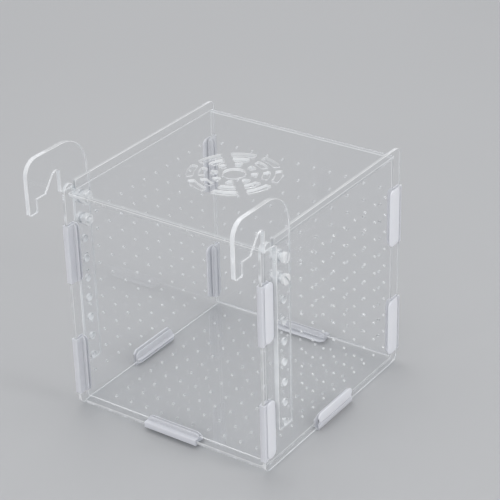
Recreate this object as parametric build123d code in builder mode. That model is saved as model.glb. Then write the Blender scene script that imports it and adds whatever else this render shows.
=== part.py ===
"""Clear breeding box that hangs inside an aquarium from two stepped hooks.

Six flat sheets make the box: two side walls that run from corner to corner, a front wall, a back
wall and a floor between them, and a lid that lies on the front and back walls.  Push-on plastic
clips hold the sheets along their edges, so every sheet ends one clip wall short of the one that it
meets.  Each hook is screwed flat against a side wall, with nine holes to set its height.

Millimetres.  +X is the box's right side seen from the front, -Y the front (the hooks' side, which
faces the tank's glass) and +Z up.  The origin is on the surface that the box stands on, midway
between the hooks' front edges and the backs of the rear clips, and midway from side to side.
"""

import math
import os

from build123d import *

# ---------------------------------------------------------------- the sheets
box_width = 139.2  # over the outer faces of the two side walls
side_depth = 150.0  # side wall, front to back
side_height = 150.0  # side wall, bottom to top
sheet = 2.0  # thickness of all the box's sheets
corner_radius = 5.0  # side walls' corners
front_margin = 5.0  # side walls beyond the front wall's and the back wall's outer faces
floor_margin = 1.6  # side walls below the floor
floor_overhang = 3.5  # floor beyond the front and back walls' outer faces
floor_corner = 3.0
lid_recess = 4.9  # lid's top below the side walls' top edges

# ---------------------------------------------------------------- the lid
lid_gap = 0.5  # between the lid's ends and the side walls
lid_front_overhang = 3.2
lid_back_overhang = 0.7
lid_corner = 1.5
notch_width = 2.3  # slot in each side wall that takes a tab of the lid
notch_inset = 9.25  # slot's middle behind the side wall's front edge
notch_round = 1.2  # rear lip of the slot
ear_flat = 0.1  # left on top of the ear in front of the slot, between its two rounded corners
tab_gap = 0.3  # round the tab in its slot, and from its end to the hook
vent_hole_radius = 7.0  # round hole in the middle of the vent
vent_slot = 4.2  # width of each ring of slots
vent_web = 3.0  # between the rings
vent_rings = 3
vent_spokes = 8
spoke_width = 5.5

# ---------------------------------------------------------------- the small holes
hole_size = 1.25  # flat to flat, cut with four sides so that the sheets stay light
hole_pitch = 11.65
side_hole_margin = 16.0  # least distance from the side walls' front and rear edges
hole_margin_low = 17.0  # least height above the side walls' bottom edges
hole_margin_high = 27.0  # least depth below the side walls' top edges
back_hole_margin = 8.0  # least distance from the back wall's ends
floor_hole_margin = 13.0  # least distance from the floor's left and right ends

# ---------------------------------------------------------------- the hooks
hook_sheet = 3.0
leg_width = 14.0
leg_gap = 0.5  # between the leg and the clips' outer lips on the side wall's front edge
nut_gap = 1.0  # least gap between the nuts and those clips' inner lips
leg_drop = 125.5  # leg's foot below the side walls' top edges
hook_rise = 25.5  # hook's top above them
hook_reach = 28.2  # hook's front in front of the side walls
hook_back_radius = 21.2
hook_front_radius = 10.0
tongue_width = 7.6  # part that goes down outside the tank
tongue_drop = 8.7  # its tip below the side walls' top edges
rim_play = 0.2  # slot's rear edge in front of the side walls
shoulder_drop = 4.2  # lower end of the slot's rear edge, below the side walls' top edges
step_drop = 0.2  # ledge for a thick rim, below the side walls' top edges
step_width = 12.8  # thickest rim that goes up past the tongue
seat_rise = 10.8  # slot's top above the side walls' top edges
seat_width = 5.3  # thickest glass that goes right up into the seat
seat_slope_rise = 9.8  # where the slot's slanted edge meets the seat
foot_round = 2.5
tip_round = 2.0
seat_round = 1.4
leg_hole_drop = 14.4  # highest hole below the side walls' top edges
leg_hole_pitch = 13.5
leg_hole_margin = 3.0  # least height of the lowest hole above the foot

# ---------------------------------------------------------------- screws and nuts
screw_radius = 1.95
screw_hole_radius = 2.25
bore_sides = 12  # the screw holes and the nuts' bores touch their circle from outside
screw_length = 10.0  # under the head
head_radius = 3.5
head_height = 2.6
slot_width = 1.2
slot_depth = 1.1
nut_flats = 7.0
nut_height = 3.2
thread_gap = 0.05  # between a screw and its nut's bore
slot_turns = {"lower": 35.0, "upper": -20.0}  # how far each screw's slot is turned, degrees
nut_turns = {"lower": 10.0, "upper": 25.0}

# ---------------------------------------------------------------- the clips
clip_wall = 1.0  # also the gap between a sheet's end and the sheet that it meets
clip_length = 38.0
clip_outer_reach = 10.1  # outer lip, from the edge that it covers
clip_inner_reach = 12.4  # inner lip, from the same edge
clip_grip = 7.0  # lips that hold the sheet that ends there
clip_corner = 3.0  # cut from the free corners of the lips, at both ends of a clip
low_clip_rise = 28.0  # middle of the lower upright clips above the side walls' bottom edges
high_clip_drop = 45.0  # middle of the upper ones below the side walls' top edges

# ---------------------------------------------------------------- places worked out from the above
outer_x = box_width / 2
inner_x = outer_x - sheet
sheet_end_x = inner_x - clip_wall
centre_y = (hook_reach - clip_wall) / 2
front_edge = centre_y - side_depth / 2
back_edge = centre_y + side_depth / 2
front_face = front_edge + front_margin
back_face = back_edge - front_margin
bottom_edge = clip_wall
top_edge = bottom_edge + side_height
floor_low = bottom_edge + floor_margin
floor_top = floor_low + sheet
wall_foot = floor_top + clip_wall
lid_low = top_edge - lid_recess - sheet
notch_y = front_edge + notch_inset
nut_corner = nut_flats / math.sqrt(3)
leg_y = front_edge + max(clip_outer_reach + leg_gap + leg_width / 2, clip_inner_reach + nut_gap + nut_corner)
foot_z = top_edge - leg_drop
leg_holes = int((leg_drop - leg_hole_drop - leg_hole_margin) / leg_hole_pitch) + 1
leg_hole_heights = [top_edge - leg_hole_drop - leg_hole_pitch * k for k in range(leg_holes)]
screw_heights = {"lower": leg_hole_heights[1], "upper": leg_hole_heights[0]}
clip_heights = {"lower": bottom_edge + low_clip_rise, "upper": top_edge - high_clip_drop}
hole_rows_z = (bottom_edge + hole_margin_low + top_edge - hole_margin_high) / 2

sides = {"left": -1, "right": 1}

os.makedirs("parts", exist_ok=True)


def save(piece, name):
    """Label a finished piece and write it under its own name."""
    piece.part.label = name
    export_step(piece.part, f"parts/{name}.step")


def hole_count(length, margins):
    """How many holes at the fixed pitch fit in a length, less the margins at its two ends."""
    return int((length - margins) / hole_pitch) + 1


def small_holes(columns, rows):
    """Cut a grid of small holes, centred on the current location, in the current sketch."""
    with GridLocations(hole_pitch, hole_pitch, columns, rows):
        Rectangle(hole_size, hole_size, mode=Mode.SUBTRACT)


# ---------------------------------------------------------------- side walls
side_columns = hole_count(side_depth, 2 * side_hole_margin)
side_rows = hole_count(side_height, hole_margin_low + hole_margin_high)
ear_width = notch_inset - notch_width / 2
ear_round = ear_width - corner_radius - ear_flat
notch_floor = lid_low - tab_gap

for side, sign in sides.items():
    with BuildPart() as side_wall:
        with BuildSketch(Plane.YZ.offset(min(sign * inner_x, sign * outer_x))) as outline:
            with Locations((centre_y, (bottom_edge + top_edge) / 2)):
                RectangleRounded(side_depth, side_height, corner_radius)
            with Locations((notch_y, top_edge)):
                Rectangle(notch_width, 2 * (top_edge - notch_floor), mode=Mode.SUBTRACT)
            ear_corner, lip_corner = outline.vertices().group_by(Axis.Y)[-1].sort_by(Axis.X)[1:3]
            fillet(ear_corner, radius=ear_round)
            fillet(lip_corner, radius=notch_round)
            with Locations((centre_y, hole_rows_z)):
                small_holes(side_columns, side_rows)
            with Locations([(leg_y, height) for height in screw_heights.values()]):
                RegularPolygon(screw_hole_radius, bore_sides, major_radius=False, mode=Mode.SUBTRACT)
        extrude(amount=sheet)
    save(side_wall, f"{side}_wall")

# ---------------------------------------------------------------- front wall, back wall, floor
end_width = 2 * sheet_end_x
end_height = lid_low - wall_foot

with BuildPart() as front_wall:
    with BuildSketch(Plane.XZ.offset(-front_face - sheet)):
        with Locations((0, wall_foot)):
            Rectangle(end_width, end_height, align=(Align.CENTER, Align.MIN))
    extrude(amount=sheet)
save(front_wall, "front_wall")

with BuildPart() as back_wall:
    with BuildSketch(Plane.XZ.offset(-back_face)):
        with Locations((0, wall_foot)):
            Rectangle(end_width, end_height, align=(Align.CENTER, Align.MIN))
        with Locations((0, hole_rows_z)):
            small_holes(hole_count(end_width, 2 * back_hole_margin), side_rows)
    extrude(amount=sheet)
save(back_wall, "back_wall")

floor_depth = back_face - front_face + 2 * floor_overhang

with BuildPart() as floor_sheet:
    with BuildSketch(Plane.XY.offset(floor_low)):
        with Locations((0, centre_y)):
            RectangleRounded(end_width, floor_depth, floor_corner)
            small_holes(hole_count(end_width, 2 * floor_hole_margin), side_columns)
    extrude(amount=sheet)
save(floor_sheet, "floor_sheet")

# ---------------------------------------------------------------- lid and its vent
lid_front = front_face - lid_front_overhang
lid_back = back_face + lid_back_overhang
lid_width = 2 * (inner_x - lid_gap)
tab_end = outer_x - tab_gap
tab_width = notch_width - 2 * tab_gap
vent_radius = vent_hole_radius + vent_rings * (vent_web + vent_slot)

with BuildPart() as lid:
    with BuildSketch(Plane.XY.offset(lid_low)):
        with Locations((0, (lid_front + lid_back) / 2)):
            RectangleRounded(lid_width, lid_back - lid_front, lid_corner)
        with Locations((0, notch_y)):
            Rectangle(2 * tab_end, tab_width)
    extrude(amount=sheet)
    with BuildSketch(Plane.XY.offset(lid_low)) as vent:
        with Locations((0, centre_y)):
            for ring in range(vent_rings, 0, -1):
                slot_outer = vent_hole_radius + ring * (vent_web + vent_slot)
                Circle(slot_outer)
                Circle(slot_outer - vent_slot, mode=Mode.SUBTRACT)
            with PolarLocations(0, vent_spokes // 2, angular_range=180):
                Rectangle(2 * vent_radius + spoke_width, spoke_width, mode=Mode.SUBTRACT)
            Circle(vent_hole_radius)
    extrude(amount=sheet, mode=Mode.SUBTRACT)
save(lid, "lid")

# ---------------------------------------------------------------- hooks
leg_front = leg_y - leg_width / 2
leg_back = leg_y + leg_width / 2
hook_front = front_edge - hook_reach
hook_top = top_edge + hook_rise
tongue_back = hook_front + tongue_width
tongue_tip = top_edge - tongue_drop
slot_back = front_edge - rim_play
shoulder = top_edge - shoulder_drop
step_z = top_edge - step_drop
seat_top = top_edge + seat_rise
seat_slope_top = top_edge + seat_slope_rise

hook_outline = [
    ((leg_back, foot_z), foot_round),
    ((leg_back, hook_top), hook_back_radius),
    ((hook_front, hook_top), hook_front_radius),
    ((hook_front, tongue_tip), tip_round),
    ((tongue_back, tongue_tip), tip_round),
    ((tongue_back, step_z), 0),
    ((slot_back - step_width, step_z), 0),
    ((slot_back - seat_width, seat_slope_top), seat_round),
    ((slot_back - seat_width / 2, seat_top), seat_round),
    ((slot_back, seat_slope_top), seat_round),
    ((slot_back, shoulder), 0),
    ((leg_front, shoulder), 0),
    ((leg_front, foot_z), foot_round),
]

for side, sign in sides.items():
    with BuildPart() as hook:
        with BuildSketch(Plane.YZ.offset(min(sign * outer_x, sign * (outer_x + hook_sheet)))):
            with BuildLine():
                FilletPolyline(
                    [corner for corner, radius in hook_outline],
                    radius=[radius for corner, radius in hook_outline],
                    close=True,
                )
            make_face()
            with Locations([(leg_y, height) for height in leg_hole_heights]):
                RegularPolygon(screw_hole_radius, bore_sides, major_radius=False, mode=Mode.SUBTRACT)
        extrude(amount=hook_sheet)
    save(hook, f"{side}_hook")

# ---------------------------------------------------------------- screws and nuts
head_face = outer_x + hook_sheet
head_top = head_face + head_height
screw_tip = head_face - screw_length

for side, sign in sides.items():
    for level, height in screw_heights.items():
        along = Plane(origin=(0, leg_y, height), x_dir=(sign, 0, 0), z_dir=(0, 1, 0))
        outward = Plane(origin=(0, leg_y, height), x_dir=(0, 1, 0), z_dir=(sign, 0, 0))

        with BuildPart() as screw:
            with BuildSketch(along):
                with BuildLine():
                    Polyline(
                        (screw_tip, 0),
                        (screw_tip, screw_radius),
                        (head_face, screw_radius),
                        (head_face, head_radius),
                        (head_top, head_radius),
                        (head_top, 0),
                        close=True,
                    )
                make_face()
            revolve(axis=Axis((0, leg_y, height), (sign, 0, 0)))
            with BuildSketch(outward.offset(head_top)):
                Rectangle(2 * head_radius, slot_width, rotation=slot_turns[level])
            extrude(amount=-slot_depth, mode=Mode.SUBTRACT)
        save(screw, f"{side}_{level}_screw")

        with BuildPart() as nut:
            with BuildSketch(outward.offset(inner_x - nut_height)):
                RegularPolygon(nut_flats / 2, 6, major_radius=False, rotation=nut_turns[level])
                RegularPolygon(
                    screw_radius + thread_gap, bore_sides, major_radius=False, mode=Mode.SUBTRACT
                )
            extrude(amount=nut_height)
        save(nut, f"{side}_{level}_nut")


# ---------------------------------------------------------------- clips
def clip(name, edge, inward, across, margin):
    """Push-on clip that joins a sheet's edge to the sheet that ends against its inner face.

    edge is a point on the covered sheet's edge and inner face, at the middle of the clip.  inward
    points from there into that sheet, and across into the other one, which stands margin in from
    the edge.
    """
    section = Plane(origin=edge, x_dir=inward, z_dir=Vector(*inward).cross(Vector(*across)))
    low_corner = (Align.MIN, Align.MIN)
    with BuildPart() as piece:
        with BuildSketch(section):
            with Locations((-clip_wall, -sheet - clip_wall)):
                Rectangle(clip_wall + clip_outer_reach, clip_wall, align=low_corner)
                Rectangle(clip_wall, sheet + 2 * clip_wall, align=low_corner)
            with Locations((-clip_wall, 0)):
                Rectangle(clip_wall + clip_inner_reach, clip_wall, align=low_corner)
            with Locations((margin - clip_wall, 0), (margin + sheet, 0)):
                Rectangle(clip_wall, clip_wall + clip_grip, align=low_corner)
        extrude(amount=clip_length / 2, both=True)
        lips = piece.edges().filter_by(Axis(edge, across)).group_by(Axis(edge, inward))
        grips = piece.edges().filter_by(Axis(edge, inward)).group_by(Axis(edge, across))
        chamfer(lips[-1] + lips[-2] + grips[-1], length=clip_corner)
    save(piece, name)


for side, sign in sides.items():
    across = (-sign, 0, 0)
    for level, height in clip_heights.items():
        front = (sign * inner_x, front_edge, height)
        back = (sign * inner_x, back_edge, height)
        clip(f"front_{side}_{level}_clip", front, (0, 1, 0), across, front_margin)
        clip(f"back_{side}_{level}_clip", back, (0, -1, 0), across, front_margin)
    below = (sign * inner_x, centre_y, bottom_edge)
    clip(f"{side}_bottom_clip", below, (0, 0, 1), across, floor_margin)

floor_front = (0, front_face - floor_overhang, floor_top)
floor_back = (0, back_face + floor_overhang, floor_top)
clip("front_bottom_clip", floor_front, (0, 1, 0), (0, 0, 1), floor_overhang)
clip("back_bottom_clip", floor_back, (0, -1, 0), (0, 0, 1), floor_overhang)
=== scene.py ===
"""Looks of the clear breeding box: polished acrylic sheets with bright cut edges, milky push-on
clips and clear moulded screws and nuts, on a pale studio floor.

Sizes are millimetres until a mesh is made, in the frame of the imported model: +X right, -Y the
hooks' side, +Z up.
"""

import math

import bmesh
import bpy
import numpy as np
from mathutils import Matrix, Vector
from mathutils.geometry import delaunay_2d_cdt


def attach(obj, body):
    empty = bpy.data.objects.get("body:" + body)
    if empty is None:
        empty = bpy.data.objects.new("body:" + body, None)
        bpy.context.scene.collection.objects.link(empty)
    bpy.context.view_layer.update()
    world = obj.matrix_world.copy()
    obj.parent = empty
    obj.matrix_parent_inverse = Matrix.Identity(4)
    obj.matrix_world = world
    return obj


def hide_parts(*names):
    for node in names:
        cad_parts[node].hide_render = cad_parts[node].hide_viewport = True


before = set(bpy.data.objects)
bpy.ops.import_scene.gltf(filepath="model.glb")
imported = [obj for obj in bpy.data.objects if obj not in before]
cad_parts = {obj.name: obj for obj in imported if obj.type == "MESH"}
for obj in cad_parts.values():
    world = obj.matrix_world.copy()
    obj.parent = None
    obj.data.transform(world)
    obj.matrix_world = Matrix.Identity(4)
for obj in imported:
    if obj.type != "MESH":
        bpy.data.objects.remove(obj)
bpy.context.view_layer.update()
scene = bpy.context.scene

# ---------------------------------------------------------------- sizes of the box
sheet = 2.0
outer_x = 69.6
inner_x = outer_x - sheet
centre_y = 13.6
front_edge, back_edge = -61.4, 88.6  # side walls
bottom_edge, top_edge = 1.0, 151.0
wall_corner = 5.0

sheet_end_x = 66.6  # sheets that stand between the side walls
front_face, back_face = -56.4, 83.6
wall_foot = 5.6

floor_low = 2.6
floor_front, floor_back = -59.9, 87.1
floor_corner = 3.0

lid_low = 144.1
lid_x, lid_front, lid_back = 67.1, -59.6, 84.3
lid_corner = 1.5
tab_x, tab_half = 69.3, 0.85
notch_y, notch_half, notch_floor = -52.15, 1.15, 143.8
ear_corner, notch_lip = 3.0, 1.2  # in front of the notch, and behind it

vent_hole, vent_web, vent_slot = 7.0, 3.0, 4.2
vent_rings, vent_spokes, spoke_half = 3, 8, 2.75
slot_round = 0.95
vent_hole_sides = 48

hole_pitch = 11.65
hole_radius = 0.7
hole_sides = 16
hole_rows_z = 71.0
screw_hole = 2.25
screw_hole_sides = 40
screw_heights = {"lower": 123.1, "upper": 136.6}

skin = 0.03  # kept free between pieces that lie face to face, as a film of air
edge_bevel = 0.22  # melted corner along every laser cut, which carries a painted highlight line
hole_bevel = 0.12  # the same round the holes
sides = {"left": -1, "right": 1}


# ---------------------------------------------------------------- flat outlines
def ring(centre, radius, steps):
    """Points on a circle: centre plus radius times (cosine, sine) of evenly spaced angles."""
    angle = np.arange(steps) * (2 * np.pi / steps)
    return np.asarray(centre) + radius * np.stack([np.cos(angle), np.sin(angle)], 1)


def rounded(corners, step=0.2):
    """Closed outline through (u, v, radius) corners, with a point every step radians of an arc.

    Each corner is an arc of its radius, tangent to both of its sides: the arc starts radius times
    tan(half the turn) before the corner, and turns from one side's direction to the other's.
    """
    points = np.array([c[:2] for c in corners], float)
    into = points - np.roll(points, 1, 0)
    into /= np.linalg.norm(into, axis=1)[:, None]
    out = np.roll(into, -1, 0)
    pieces = []
    for point, a, b, (_, _, radius) in zip(points, into, out, corners):
        turn = math.atan2(a[0] * b[1] - a[1] * b[0], a @ b)
        if radius <= 0 or abs(turn) < 1e-6:
            pieces.append(point[None])
            continue
        left = np.array([-a[1], a[0]]) * math.copysign(1, turn)
        start = point - a * radius * math.tan(abs(turn) / 2)
        swing = np.linspace(0, abs(turn), max(3, round(abs(turn) / step) + 1))[:, None]
        pieces.append(start + radius * (np.sin(swing) * a + (1 - np.cos(swing)) * left))
    return np.concatenate(pieces)


def turned(loop, hole=False):
    """The same loop, counter-clockwise round solid, clockwise round a hole."""
    u, v = loop.T
    area = np.sum(u * np.roll(v, -1) - np.roll(u, -1) * v)
    return loop[::-1] if (area > 0) == hole else loop


def inset(loop, depth):
    """Every point moved into the solid, which is on the loop's left, by depth measured square to
    both of the point's sides."""
    side = np.roll(loop, -1, 0) - loop
    side /= np.linalg.norm(side, axis=1)[:, None]
    left = np.stack([-side[:, 1], side[:, 0]], 1)
    before = np.roll(left, 1, 0)
    return loop + depth * (left + before) / (1 + np.sum(left * before, 1))[:, None]


def small_holes(centre, columns, rows):
    """The small holes, whole pitches apart and centred on the sheet's pattern."""
    u = (np.arange(columns) - (columns - 1) / 2) * hole_pitch + centre[0]
    v = (np.arange(rows) - (rows - 1) / 2) * hole_pitch + centre[1]
    middles = np.stack(np.meshgrid(u, v), -1).reshape(-1, 2)
    return [ring(middle, hole_radius, hole_sides) for middle in middles]


def vent_slots(centre):
    """Slots of the vent: rings of them between its spokes.

    A spoke keeps its width, so at radius r it hides asin(h / r) on each side of its own angle,
    where h is half its width.  Each slot runs between two such angles on its outer and its inner
    arc, with more points on the longer arcs, and its ends are rounded: h grows by
    R - sqrt(R^2 - (R - d)^2) at the distance d from an arc.
    """
    swing = np.linspace(0, np.pi / 2, 6)
    depth = slot_round * (1 - np.cos(swing))
    half = spoke_half + slot_round * (1 - np.sin(swing))
    half = np.r_[half, half[::-1]]
    between = 2 * np.pi / vent_spokes
    slots = []
    for k in range(vent_rings):
        low = vent_hole + vent_web + k * (vent_web + vent_slot)
        high = low + vent_slot
        end_radius = np.r_[high - depth, low + depth[::-1]]
        hidden = np.arcsin(half / end_radius)
        for spoke in range(vent_spokes):
            first, last = spoke * between + hidden, (spoke + 1) * between - hidden
            outer = np.linspace(first[0], last[0], 7 + 2 * k)[1:-1]
            inner = np.linspace(last[-1], first[-1], 5 + 2 * k)[1:-1]
            angle = np.r_[outer, last, inner, first[::-1]]
            radius = np.r_[outer * 0 + high, end_radius, inner * 0 + low, end_radius[::-1]]
            around = np.stack([np.cos(angle), np.sin(angle)], 1)
            slots.append(np.asarray(centre) + radius[:, None] * around)
    return slots


# ---------------------------------------------------------------- meshes
def place(u, v, w, facing):
    """Sheet coordinates put into the frame: w runs along +X, -Y or +Z, so that u, v, w stay
    right-handed."""
    return np.stack({"x": (w, u, v), "y": (u, -w, v), "z": (u, v, w)}[facing], -1)


def make_mesh(name, points, faces, slots, finishes):
    """A mesh object in metres from points in millimetres, with smooth faces that break at
    30 degrees."""
    mesh = bpy.data.meshes.new(name)
    mesh.from_pydata(np.asarray(points) / 1000, [], [tuple(map(int, f)) for f in faces])
    mesh.polygons.foreach_set("use_smooth", np.ones(len(faces), bool))
    mesh.polygons.foreach_set("material_index", np.asarray(slots, np.int32))
    for finish in finishes:
        mesh.materials.append(finish)
    mesh.set_sharp_from_angle(angle=math.radians(30))
    mesh.validate()
    piece = bpy.data.objects.new(name, mesh)
    scene.collection.objects.link(piece)
    return piece


def fit(piece, node, body):
    """Puts a piece on its body, in place of the node, which it hides."""
    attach(piece, body)
    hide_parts(node)


def face_outwards(piece):
    """Merges what meets and turns every face outwards."""
    work = bmesh.new()
    work.from_mesh(piece.data)
    bmesh.ops.remove_doubles(work, verts=work.verts, dist=1e-7)
    bmesh.ops.recalc_face_normals(work, faces=work.faces)
    work.to_mesh(piece.data)
    work.free()


def band(start, stations, count):
    """Quads of a tube that has count points round it at each station, numbered from start."""
    i = np.arange(count)
    j = (i + 1) % count
    row = start + np.arange(stations - 1)[:, None] * count
    return np.stack([row + i, row + j, row + count + j, row + count + i], -1).reshape(-1, 4)


def filled(loops):
    """Triangles between closed loops: a constrained Delaunay net of their points, of which those
    stay whose middle has an odd number of loop sides to its right."""
    points = np.concatenate(loops)
    starts = np.cumsum([0] + [len(loop) for loop in loops])
    edges = np.concatenate([
        np.stack([np.arange(a, b), np.r_[a + 1:b, a]], 1) for a, b in zip(starts, starts[1:])
    ])
    corners, sides_of_loops = [Vector(p) for p in points], [tuple(map(int, e)) for e in edges]
    found = delaunay_2d_cdt(corners, sides_of_loops, [], 0, 1e-6)
    order = np.array([ids[0] if ids else -1 for ids in found[3]])
    triangles = order[np.array(found[2])]
    middle = points[triangles].mean(1)
    a, b = points[edges[:, 0]], points[edges[:, 1]]
    spans = (a[:, 1] > middle[:, None, 1]) != (b[:, 1] > middle[:, None, 1])
    rise = np.where(a[:, 1] == b[:, 1], 1, b[:, 1] - a[:, 1])
    cross = a[:, 0] + (middle[:, None, 1] - a[:, 1]) * (b[:, 0] - a[:, 0]) / rise
    triangles = triangles[np.sum(spans & (cross > middle[:, None, 0]), 1) % 2 == 1]
    p, q, r = points[triangles].transpose(1, 0, 2)
    flip = (q - p)[:, 0] * (r - p)[:, 1] - (q - p)[:, 1] * (r - p)[:, 0] < 0
    triangles[flip] = triangles[flip][:, ::-1]
    return triangles


def cut_sheet(name, facing, low, thick, outline, holes, finishes):
    """A laser-cut sheet: its two polished faces are the outline less the holes, and each cut is a
    wall that goes straight through, with a small bevel at both faces.

    finishes are those of the faces, the long cuts, the bevels and the holes' walls.
    """
    on_face, on_cut, on_bevel, on_bore = range(4)
    loops = [inset(turned(outline), skin)] + [turned(h, hole=True) for h in holes]
    bevels = [edge_bevel] + [hole_bevel] * len(holes)
    flat = [inset(loop, bevel) for loop, bevel in zip(loops, bevels)]
    low, high = low + skin, low + thick - skin
    points, faces, slots = [], [], []
    start = 0
    for loop, face, bevel in zip(loops, flat, bevels):
        for uv, w in ((face, low), (loop, low + bevel), (loop, high - bevel), (face, high)):
            points.append(place(uv[:, 0], uv[:, 1], np.full(len(uv), w), facing))
        faces.append(band(start, 4, len(loop)))
        for slot in (on_bevel, on_bore if start else on_cut, on_bevel):
            slots += [slot] * len(loop)
        start += 4 * len(loop)
    walls = np.concatenate(faces)
    lengths = np.array([len(loop) for loop in loops])
    shift = np.repeat(3 * (np.cumsum(lengths) - lengths), lengths)
    net = filled(flat)
    bottom = (net + shift[net])[:, ::-1]
    top = net + shift[net] + 3 * np.repeat(lengths, lengths)[net]
    caps = np.concatenate([bottom, top])
    slots += [on_face] * len(caps)
    return make_mesh(name, np.concatenate(points), [*walls, *caps], slots, finishes)


# ---------------------------------------------------------------- shader maths
class Value:
    """One output of a shader node. Python's sums on it add Math nodes."""

    def __init__(self, finish, output):
        self.finish, self.output = finish, output

    def maths(self, operation, second):
        return self.finish.node("ShaderNodeMath", {0: self, 1: second}, operation=operation)

    def __add__(self, other):
        return self.maths("ADD", other)

    def __mul__(self, other):
        return self.maths("MULTIPLY", other)

    def __pow__(self, other):
        return self.maths("POWER", other)

    __radd__ = __add__
    __rmul__ = __mul__


class Finish:
    """A material, or the world, and its nodes."""

    def __init__(self, owner):
        self.owner = owner
        owner.use_nodes = True
        self.tree = owner.node_tree
        self.tree.nodes.clear()

    def node(self, kind, sockets=None, out=0, **settings):
        """Adds a node, with its settings first and then its sockets, and returns an output."""
        new = self.tree.nodes.new(kind)
        for key, value in settings.items():
            setattr(new, key, value)
        for key, value in (sockets or {}).items():
            if isinstance(value, Value):
                self.tree.links.new(value.output, new.inputs[key])
            else:
                new.inputs[key].default_value = value
        return Value(self, new.outputs[out])

    def noise(self, scale, detail, stretch=(1, 1, 1)):
        """Noise over the piece's own coordinates, in metres, stretched first."""
        here = self.node("ShaderNodeTexCoord", out="Object")
        where = self.node("ShaderNodeVectorMath", {0: here, 1: stretch}, operation="MULTIPLY")
        return self.node("ShaderNodeTexNoise", {"Vector": where, "Scale": scale, "Detail": detail})

    def mixed(self, share, first, second):
        ends = {0: share, 6: (*first, 1), 7: (*second, 1)}
        return self.node("ShaderNodeMix", ends, out=2, data_type="RGBA")

    def bumped(self, height, distance, strength):
        relief = {"Height": height, "Distance": distance, "Strength": strength}
        return self.node("ShaderNodeBump", relief)

    def surface(self, shader):
        output = self.tree.nodes.new("ShaderNodeOutputMaterial")
        self.tree.links.new(shader.output, output.inputs["Surface"])
        return self.owner

    def clear_plastic(self, colour, rough, clearness, normal, shade, index=1.49):
        """Plastic that lets the share clearness of the light through, blurred by its roughness.

        It is clear, with the tint shade, to lamps and to light that bounces off what is behind it,
        so that it throws the light shadow of real acrylic and what it shuts in is lit as evenly as
        the rest.
        """
        shader = self.node("ShaderNodeBsdfPrincipled", {
            "Base Color": colour, "Roughness": rough, "IOR": index,
            "Transmission Weight": clearness, "Normal": normal,
        })
        clear = self.node("ShaderNodeBsdfTransparent", {"Color": (*shade, 1)})
        shadow = self.node("ShaderNodeLightPath", out="Is Shadow Ray")
        bounced = self.node("ShaderNodeLightPath", out="Is Diffuse Ray")
        shadowless = self.node("ShaderNodeMixShader", {0: shadow, 1: shader, 2: clear})
        return self.surface(
            self.node("ShaderNodeMixShader", {0: bounced, 1: shadowless, 2: clear}))


def new_finish(name):
    return Finish(bpy.data.materials.new(name))


def polished_acrylic(name, tint):
    """Clear cast acrylic: wipe marks and hair scratches roughen it a little, and its faces are
    not quite flat."""
    f = new_finish(name)
    smears = f.noise(22.0, 3.0, stretch=(1.0, 2.3, 0.7))
    hairs = f.noise(60.0, 1.0, stretch=(1.0, 40.0, 3.0))
    rough = 0.001 + 0.006 * smears ** 3.0 + 0.015 * hairs ** 6.0
    waves = f.bumped(f.noise(35.0, 1.0), distance=0.0002, strength=0.15)
    return f.clear_plastic((*tint, 1), rough, 1.0, waves, shade=(0.97, 0.972, 0.974))


def cut_acrylic_painted_light(name, across):
    """Laser-cut edge: painted light, a bright white for the light the sheet carries to its edges,
    with fine draw lines through the sheet.

    across stretches the coordinates that the lines repeat along, and all but leaves out the
    sheet's thickness.
    """
    f = new_finish(name)
    lines = f.noise(2600.0, 2.0, stretch=across)
    cloud = f.noise(120.0, 2.0)
    rough = 0.08 + 0.18 * cloud + 0.12 * lines
    # painted light: this bright white is the light that the sheet carries out to its cut edges
    colour = f.mixed(cloud * 0.6 + lines * 0.4, (0.84, 0.87, 0.90), (0.98, 0.985, 0.99))
    drawn = f.bumped(lines, distance=0.00004, strength=0.5)
    return f.clear_plastic(colour, rough, 0.35, drawn, shade=(0.72, 0.75, 0.77))


def rim_painted_highlight(name):
    """Bevel along each cut: a glassy white bead that is a painted highlight line, with a slight
    ripple along the cut.
    """
    f = new_finish(name)
    ripple = f.noise(900.0, 1.0)
    # painted highlight: the near-white bead colour draws the bright line along each edge
    colour = f.mixed(ripple, (0.93, 0.945, 0.96), (1.0, 1.0, 1.0))
    beads = f.bumped(ripple, distance=0.00003, strength=0.4)
    return f.clear_plastic(colour, 0.06 + 0.10 * ripple, 0.2, beads, shade=(0.8, 0.82, 0.84))


def bore_painted_highlight(name):
    """Wall of a laser-cut hole: rougher than the long cuts, and whiter as a painted highlight that
    shows each hole as a bright dot."""
    f = new_finish(name)
    frost = f.noise(1500.0, 2.0)
    # painted highlight: the white of the bore stands in for the glint of each small hole
    colour = f.mixed(frost, (0.90, 0.92, 0.94), (1.0, 1.0, 1.0))
    crust = f.bumped(frost, distance=0.00004, strength=0.5)
    return f.clear_plastic(colour, 0.12 + 0.2 * frost, 0.15, crust, shade=(0.72, 0.74, 0.76))


def milky_clip(name, clearness):
    """Soft milky plastic: faint bluish white, cloudy, with a satin surface and a fine grain.

    clearness is the share of light that goes through: small in the pad, more in the thin walls.
    """
    f = new_finish(name)
    cloud = f.noise(70.0, 3.0)
    grain = f.noise(260.0, 2.0)
    colour = f.mixed(cloud, (0.89, 0.90, 0.955), (0.97, 0.975, 1.0))
    satin = f.bumped(grain, distance=0.00004, strength=0.15)
    return f.clear_plastic(
        colour, 0.26 + 0.12 * grain, clearness, satin, shade=(0.5, 0.51, 0.54), index=1.46)


def moulded_clear(name):
    """Clear moulded plastic of the screws and nuts: softer gloss than the sheets, with faint flow
    marks."""
    f = new_finish(name)
    flow = f.noise(260.0, 2.0, stretch=(1.0, 1.0, 1.6))
    colour = f.mixed(flow, (0.92, 0.925, 0.94), (1.0, 1.0, 1.0))
    marks = f.bumped(flow, distance=0.00008, strength=0.4)
    return f.clear_plastic(
        colour, 0.05 + 0.10 * flow, 0.35, marks, shade=(0.75, 0.77, 0.78), index=1.5)


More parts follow.
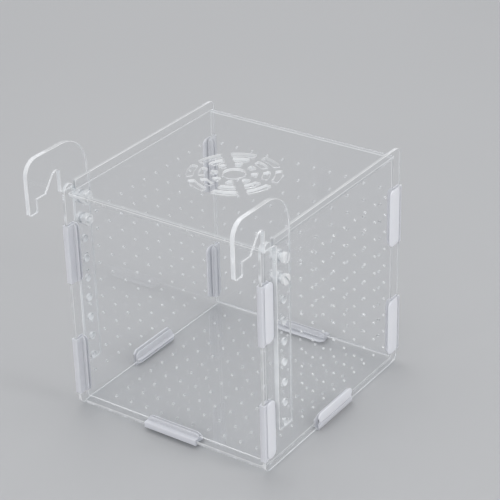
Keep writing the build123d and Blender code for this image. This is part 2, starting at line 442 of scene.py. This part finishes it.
face_finish = polished_acrylic("polished_face", (0.992, 0.995, 1.0))
cut_finish = {
    "x": cut_acrylic_painted_light("cut_edge_side", (0.02, 1, 1)),
    "y": cut_acrylic_painted_light("cut_edge_end", (1, 0.02, 1)),
    "z": cut_acrylic_painted_light("cut_edge_flat", (1, 1, 0.02)),
}
rim_finish = rim_painted_highlight("rim_painted_highlight")
bore_finish = bore_painted_highlight("bore_painted_highlight")
clip_finishes = [milky_clip("milky_pad", 0.15), milky_clip("milky_thin_wall", 0.38)]
screw_finish = moulded_clear("moulded_clear")


# ---------------------------------------------------------------- the six sheets
def sheet_piece(node, body, facing, low, thick, outline, holes):
    """A node's cut sheet, which fills w from low to low + thick."""
    finishes = [face_finish, cut_finish[facing], rim_finish, bore_finish]
    piece = cut_sheet(f"{node}_sheet", facing, low, thick, outline, holes, finishes)
    fit(piece, node, body)


wall_outline = rounded([
    (front_edge, bottom_edge, wall_corner), (back_edge, bottom_edge, wall_corner),
    (back_edge, top_edge, wall_corner), (notch_y + notch_half, top_edge, notch_lip),
    (notch_y + notch_half, notch_floor, 0), (notch_y - notch_half, notch_floor, 0),
    (notch_y - notch_half, top_edge, ear_corner), (front_edge, top_edge, wall_corner),
])
leg_y, leg_width = -43.8, 14.0
wall_holes = small_holes((centre_y, hole_rows_z), columns=11, rows=10)
wall_holes += [ring((leg_y, z), screw_hole, screw_hole_sides) for z in screw_heights.values()]
for side, sign in sides.items():
    low = min(sign * inner_x, sign * outer_x)
    sheet_piece(f"{side}_wall", "box", "x", low, sheet, wall_outline, wall_holes)

end_outline = rounded([
    (-sheet_end_x, wall_foot, 0), (sheet_end_x, wall_foot, 0),
    (sheet_end_x, lid_low, 0), (-sheet_end_x, lid_low, 0),
])
back_holes = small_holes((0, hole_rows_z), columns=11, rows=10)
sheet_piece("front_wall", "box", "y", -front_face - sheet, sheet, end_outline, [])
sheet_piece("back_wall", "box", "y", -back_face, sheet, end_outline, back_holes)

floor_outline = rounded([
    (-sheet_end_x, floor_front, floor_corner), (sheet_end_x, floor_front, floor_corner),
    (sheet_end_x, floor_back, floor_corner), (-sheet_end_x, floor_back, floor_corner),
])
floor_holes = small_holes((0, centre_y), columns=10, rows=11)
sheet_piece("floor_sheet", "box", "z", floor_low, sheet, floor_outline, floor_holes)

tab_low, tab_high = notch_y - tab_half, notch_y + tab_half
lid_outline = rounded([
    (-lid_x, lid_front, lid_corner), (lid_x, lid_front, lid_corner),
    (lid_x, tab_low, 0), (tab_x, tab_low, 0), (tab_x, tab_high, 0), (lid_x, tab_high, 0),
    (lid_x, lid_back, lid_corner), (-lid_x, lid_back, lid_corner),
    (-lid_x, tab_high, 0), (-tab_x, tab_high, 0), (-tab_x, tab_low, 0), (-lid_x, tab_low, 0),
])
vent = vent_slots((0, centre_y)) + [ring((0, centre_y), vent_hole, vent_hole_sides)]
sheet_piece("lid", "lid", "z", lid_low, sheet, lid_outline, vent)

# ---------------------------------------------------------------- hooks
hook_sheet = 3.0
leg_front, leg_back = leg_y - leg_width / 2, leg_y + leg_width / 2
leg_foot, hook_top = 25.5, 176.5
leg_holes, leg_hole_rise, leg_hole_pitch = 9, 3.1, 13.5
hook_front, tongue_back, step_back = -89.6, -82.0, -74.4
tongue_foot, step_z = 142.3, 150.8
seat_front, slot_back = -66.9, -61.6
shoulder, seat_slope_top, seat_top = 146.8, 160.8, 161.8
foot_round, back_round, front_round, tongue_round, seat_round = 2.5, 21.2, 10, 2, 1.4

hook_outline = rounded([
    (leg_back, leg_foot, foot_round), (leg_back, hook_top, back_round),
    (hook_front, hook_top, front_round), (hook_front, tongue_foot, tongue_round),
    (tongue_back, tongue_foot, tongue_round), (tongue_back, step_z, 0), (step_back, step_z, 0),
    (seat_front, seat_slope_top, seat_round), ((seat_front + slot_back) / 2, seat_top, seat_round),
    (slot_back, seat_slope_top, seat_round), (slot_back, shoulder, 0), (leg_front, shoulder, 0),
    (leg_front, leg_foot, foot_round),
], step=0.1)
hook_holes = [
    ring((leg_y, leg_foot + leg_hole_rise + leg_hole_pitch * k), screw_hole, screw_hole_sides)
    for k in range(leg_holes)
]
for side, sign in sides.items():
    low = min(sign * outer_x, sign * (outer_x + hook_sheet))
    sheet_piece(f"{side}_hook", f"{side}_hanger", "x", low, hook_sheet,
                hook_outline, hook_holes)

# ---------------------------------------------------------------- clips
clip_length, clip_wall, clip_grip = 38.0, 1.0, 3.4
clip_round = 3.5  # seen square to a lip, at both of its ends
clip_tip = 0.45  # the same seen along the clip
slit_depth, slit_width, slit_slope = 0.6, 0.7, 0.1


def moulded_clip(node, edge, inward, across, margin, reach=10.1, slit=0.9, inner_reach=9.0):
    """A push-on clip: its section carried along its length.

    The section is a comb of walls with rounded tips: u runs into the covered sheet from its edge,
    and v across it, towards the sheet that stands margin in from the edge.  A slit parts the outer
    lip's pad from the rib along the covered sheet's edge.  Near each end, both sides of the pad and
    the tips of the other lips draw in by R - sqrt(R^2 - (R - d)^2), where d is the distance to the
    end, which rounds their corners.
    """
    outside, under = -sheet - clip_wall, -sheet  # the outer lip's two faces
    slit_floor = outside + slit_depth
    near, far = margin, margin + sheet  # faces of the sheet between the grips
    section = [
        (-clip_wall, outside, 0.6),
        (slit, outside, 0.2), (slit + slit_slope, slit_floor, 0.1),
        (slit + slit_width - slit_slope, slit_floor, 0.1), (slit + slit_width, outside, 0.3),
        (reach, outside, clip_tip), (reach, under, clip_tip),
        (0, under, 0), (0, 0, 0),
        (inner_reach, 0, clip_tip), (inner_reach, clip_wall, clip_tip),
        (far + clip_wall, clip_wall, 0.25), (far + clip_wall, clip_grip, clip_tip),
        (far, clip_grip, clip_tip), (far, clip_wall, 0),
        (near, clip_wall, 0), (near, clip_grip, clip_tip),
        (near - clip_wall, clip_grip, clip_tip), (near - clip_wall, clip_wall, 0.15),
        (-clip_wall, clip_wall, 0.7),
    ]
    flat = rounded(section, step=0.4)
    u, v = flat.T
    # Which points draw in, and by what share: the inner lip's tip stops short of the far grip.
    pad_tip = (u > reach - 0.6) & (v < under + 0.5)
    pad_side = (u > slit + 0.4) & (u < slit + 1.6) & (v < under - 0.2)
    inner_tip = (u > inner_reach - 0.6) & (v > -0.5) & (v < clip_wall + 0.5)
    grip_tips = v > clip_grip - 0.6
    spare = min(1, (inner_reach - far - clip_wall - 0.1) / clip_round)
    lips = np.stack([1.0 * pad_tip - pad_side + spare * inner_tip, 0.5 * grip_tips], 1)

    swing = np.linspace(0, np.pi / 2, 9)
    along = clip_length / 2 - clip_round * (1 - np.cos(swing))
    drawn = clip_round * (1 - np.sin(swing))
    along, drawn = np.r_[-along, along[::-1]], np.r_[drawn, drawn[::-1]]
    section_at = flat[None] - drawn[:, None, None] * lips[None]
    inward, across = np.array(inward, float), np.array(across, float)
    points = np.array(edge) + section_at[..., :1] * inward + section_at[..., 1:] * across
    points = (points + along[:, None, None] * np.cross(inward, across)).reshape(-1, 3)

    count = len(flat)
    ends = range(count)[::-1], range(len(points) - count, len(points))
    thin = np.maximum(v, np.roll(v, -1)) > under + 0.1  # all but the pad and the rib
    thin |= np.maximum(u, np.roll(u, -1)) < slit + 0.4  # and the rib
    slots = [*np.tile(thin, len(along) - 1), True, True]
    faces = [*band(0, len(along), count), *ends]
    piece = make_mesh(f"{node}_moulded", points, faces, slots, clip_finishes)
    fit(piece, node, "box")


clip_heights = {"lower": 29.0, "upper": 106.0}
end_margin, floor_margin, floor_overhang = 5.0, 1.6, 3.5
floor_top = floor_low + sheet
for side, sign in sides.items():
    across = (-sign, 0, 0)
    for level, height in clip_heights.items():
        moulded_clip(f"front_{side}_{level}_clip", (sign * inner_x, front_edge, height),
                     (0, 1, 0), across, end_margin)
        moulded_clip(f"back_{side}_{level}_clip", (sign * inner_x, back_edge, height),
                     (0, -1, 0), across, end_margin, reach=12.4)
    moulded_clip(f"{side}_bottom_clip", (sign * inner_x, centre_y, bottom_edge),
                 (0, 0, 1), across, floor_margin, slit=2.6)
for end, y, inward in (("front", floor_front, (0, 1, 0)), ("back", floor_back, (0, -1, 0))):
    moulded_clip(f"{end}_bottom_clip", (0, y, floor_top),
                 inward, (0, 0, 1), floor_overhang, inner_reach=7.3)

# ---------------------------------------------------------------- screws and nuts
head_face = outer_x + hook_sheet + skin
head_radius, head_rim, head_dome = 3.48, 2.05, 0.52
head_columns, head_rows = 14, 17  # columns on each side of the slot, and points along each
screw_slot_half, screw_slot_floor = 0.6, 1.45
slot_wall = 0.006  # angle round the head that each wall of the slot takes up
shank_length, shank_root, shank_sides, shank_rows = 9.9, 1.56, 32, 100
thread_pitch, thread_depth = 0.7, 0.38
tip_length, tip_share = 0.5, 0.82  # the tip narrows to this share of the shank's radius
nut_flats, nut_height, nut_bore, nut_sides = 7.0, 3.2, 2.0, 72
nut_countersink, nut_cone_inset, nut_cone_slope = 0.25, 0.05, 0.6


def stand_out(local, height, sign):
    """Points with z along the screw put into the frame, with that z pointing out of the box."""
    x, y, z = local[:, 0], local[:, 1], local[:, 2]
    return np.stack([sign * z, leg_y + x, height + sign * y], 1)


def threaded_screw(node, height, sign, turn):
    """Slotted screw in one closed skin.

    The head's top is a grid over columns of equal x, which run from -sqrt(R^2 - x^2) to
    +sqrt(R^2 - x^2).  Its height at radius r is rim + dome * sqrt(1 - (r / R)^4), and the slot's
    floor where |x| is inside the slot.  The shank's radius is its root plus the thread's depth
    times a rounded tooth of the phase z / pitch + angle / turn, and it shrinks over the tip.
    """
    first = math.asin(screw_slot_half / head_radius) + slot_wall
    swing = np.linspace(first, np.pi / 2, head_columns)
    half = np.r_[0, screw_slot_half, head_radius * np.sin(swing)]
    columns = np.r_[-half[:0:-1], half]
    x = np.repeat(columns[:, None], head_rows, 1)
    y = np.sqrt(np.maximum(head_radius**2 - x**2, 1e-4))
    y = y * np.sin(np.linspace(-np.pi / 2, np.pi / 2, head_rows))
    radius = np.hypot(x, y)
    top = head_rim + head_dome * np.sqrt(np.maximum(1 - (radius / head_radius) ** 4, 0))
    top = np.where(np.abs(x) <= screw_slot_half + 1e-6, screw_slot_floor, top)
    cover = np.stack([x, y, top], -1).reshape(-1, 3)
    number = np.arange(x.size).reshape(x.shape)
    quads = np.stack([number[:-1, :-1], number[1:, :-1], number[1:, 1:], number[:-1, 1:]], -1)
    edge = np.r_[number[:, 0], number[-1, 1:], number[-2::-1, -1], number[0, -2:0:-1]]
    under = cover[edge] * (1, 1, 0)

    angle = np.arange(shank_sides) * (2 * np.pi / shank_sides)
    z = -np.linspace(0, shank_length, shank_rows)[:, None]
    tooth = 0.5 + 0.5 * np.cos(2 * np.pi * z / thread_pitch + angle)
    tapered = tip_share + (1 - tip_share) * np.clip((shank_length + z) / tip_length, 0, 1)
    radius = (shank_root + thread_depth * tooth**0.7) * tapered
    shank = np.stack([radius * np.cos(angle), radius * np.sin(angle), z + 0 * angle], -1)
    shank = shank.reshape(-1, 3)

    points = np.concatenate([cover, under, shank])
    under_at, shank_at = len(cover), len(cover) + len(under)
    k = np.arange(len(edge))
    skirt = np.stack([edge, under_at + k, under_at + np.roll(k, -1), np.roll(edge, -1)], 1)
    ledge = under_at + filled([under[:, :2], shank[:shank_sides, :2]])
    faces = [*quads.reshape(-1, 4), *skirt, *ledge]
    faces += [*(shank_at + band(0, shank_rows, shank_sides))]
    faces += [range(len(points) - shank_sides, len(points))]
    cosine, sine = math.cos(turn), math.sin(turn)
    points[:, :2] = points[:, :2] @ [[cosine, sine], [-sine, cosine]]
    points[:, 2] += head_face
    points = stand_out(points, height, sign)
    piece = make_mesh(f"{node}_threaded", points, faces, [0] * len(faces), [screw_finish])
    face_outwards(piece)
    fit(piece, node, f"{node}_body")


def hexagon_nut(node, height, sign, turn):
    """Hexagon nut: at an angle a, its side is at flats / 2 / cos(a's distance to the nearest flat's
    middle), cut by a cone at both ends, and its bore is a plain cylinder round the thread."""
    angle = np.arange(nut_sides) * (2 * np.pi / nut_sides)
    side = nut_flats / 2 / np.cos((angle + np.pi / 6) % (np.pi / 3) - np.pi / 6)
    cone = nut_flats / 2 - nut_cone_inset
    drop = skin + nut_cone_slope * (side - cone)
    mouth = nut_bore + nut_countersink
    rows = [(nut_bore, nut_countersink), (mouth, skin), (cone, skin), (side, drop)]
    rows += [(radius, nut_height - z) for radius, z in rows[::-1]]
    radius = np.array([radius + 0 * angle for radius, z in rows])
    z = np.array([z + 0 * angle for radius, z in rows]) + inner_x - nut_height
    x, y = radius * np.cos(angle + turn), radius * np.sin(angle + turn)
    points = stand_out(np.stack([x, y, z], -1).reshape(-1, 3), height, sign)
    faces = band(0, len(rows) + 1, nut_sides) % len(points)
    piece = make_mesh(f"{node}_hexagon", points, faces, [0] * len(faces), [screw_finish])
    face_outwards(piece)
    fit(piece, node, f"{node}_body")


screw_turns = {"lower": math.radians(35), "upper": math.radians(-20)}
nut_turns = {"lower": math.radians(10), "upper": math.radians(25)}
for side, sign in sides.items():
    for level, height in screw_heights.items():
        threaded_screw(f"{side}_{level}_screw", height, sign, screw_turns[level])
        hexagon_nut(f"{side}_{level}_nut", height, sign, nut_turns[level])

# ---------------------------------------------------------------- studio
pale = 0.48

paint = new_finish("pale_floor")
mottle = paint.noise(3.0, 2.0)
floor_finish = paint.surface(paint.node("ShaderNodeBsdfPrincipled", {
    "Base Color": paint.mixed(
        mottle, (pale - 0.015, pale - 0.01, pale), (pale + 0.01, pale + 0.015, pale + 0.025)),
    "Roughness": 0.45, "Specular IOR Level": 0.25,
}))
floor_half = 4
floor_corners = np.array([(-1, -1, 0), (1, -1, 0), (1, 1, 0), (-1, 1, 0)]) * floor_half
floor_mesh = bpy.data.meshes.new("studio_floor")
floor_mesh.from_pydata(floor_corners.tolist(), [], [(0, 1, 2, 3)])
floor_mesh.materials.append(floor_finish)
studio_floor = bpy.data.objects.new("studio_floor", floor_mesh)
scene.collection.objects.link(studio_floor)

scene.world = bpy.data.worlds.new("studio")
backdrop = Finish(scene.world)
backdrop_colour = (pale, pale + 0.005, pale + 0.015, 1)
background = backdrop.node("ShaderNodeBackground", {"Color": backdrop_colour, "Strength": 1.0})
world_output = backdrop.tree.nodes.new("ShaderNodeOutputWorld")
backdrop.tree.links.new(background.output, world_output.inputs["Surface"])


def softbox(name, spot, width, height, watts, mirrored=True):
    """A rectangular lamp at spot, in metres, turned to the box's middle. Glossy and clear things
    show it if it is mirrored."""
    lamp = bpy.data.lights.new(name, "AREA")
    lamp.shape, lamp.size, lamp.size_y, lamp.energy = "RECTANGLE", width, height, watts
    stand = bpy.data.objects.new(name, lamp)
    stand.location = spot
    stand.visible_glossy = stand.visible_transmission = mirrored
    aim = box_middle - Vector(spot)
    stand.rotation_euler = aim.to_track_quat("-Z", "Y").to_euler()
    scene.collection.objects.link(stand)


box_middle = Vector((0, 0.0136, 0.08))
softbox("overhead_softbox", (-0.2, 0.3, 1.2), width=0.9, height=0.7, watts=4.1)
softbox("front_softbox", (0.1, -1.4, 0.8), width=1.5, height=0.8, watts=9.6)
softbox("right_softbox", (1.4, 0.1, 0.7), width=0.5, height=0.9, watts=7.0)
softbox("back_softbox", (-0.9, 1.3, 0.7), width=1.2, height=0.8, watts=5.0, mirrored=False)

# ---------------------------------------------------------------- camera
yaw, pitch_down, roll = math.radians(35.13), math.radians(28.03), math.radians(-1.52)
distance, target = 1.03428, Vector((0.0099, 0.0136, 0.09739))
focal_pixels, photo_pixels = 1721.49, 500
flat_part = math.cos(pitch_down)
back = Vector((math.sin(yaw) * flat_part, -math.cos(yaw) * flat_part, math.sin(pitch_down)))
right = Vector((math.cos(yaw), math.sin(yaw), 0))
upward = back.cross(right)
across = right * math.cos(roll) + upward * math.sin(roll)
above = upward * math.cos(roll) - right * math.sin(roll)
camera = bpy.data.cameras.new("camera")
camera.sensor_width = 36.0
camera.lens = camera.sensor_width * focal_pixels / photo_pixels
camera.clip_start, camera.clip_end = 0.05, 50
viewer = bpy.data.objects.new("camera", camera)
turned_to = Matrix((across, above, back)).transposed().to_4x4()
viewer.matrix_world = Matrix.Translation(target + back * distance) @ turned_to
scene.collection.objects.link(viewer)
scene.camera = viewer
scene.view_settings.view_transform = "Standard"
scene.cycles.max_bounces = 32
scene.cycles.transmission_bounces = 32
scene.cycles.transparent_max_bounces = 64
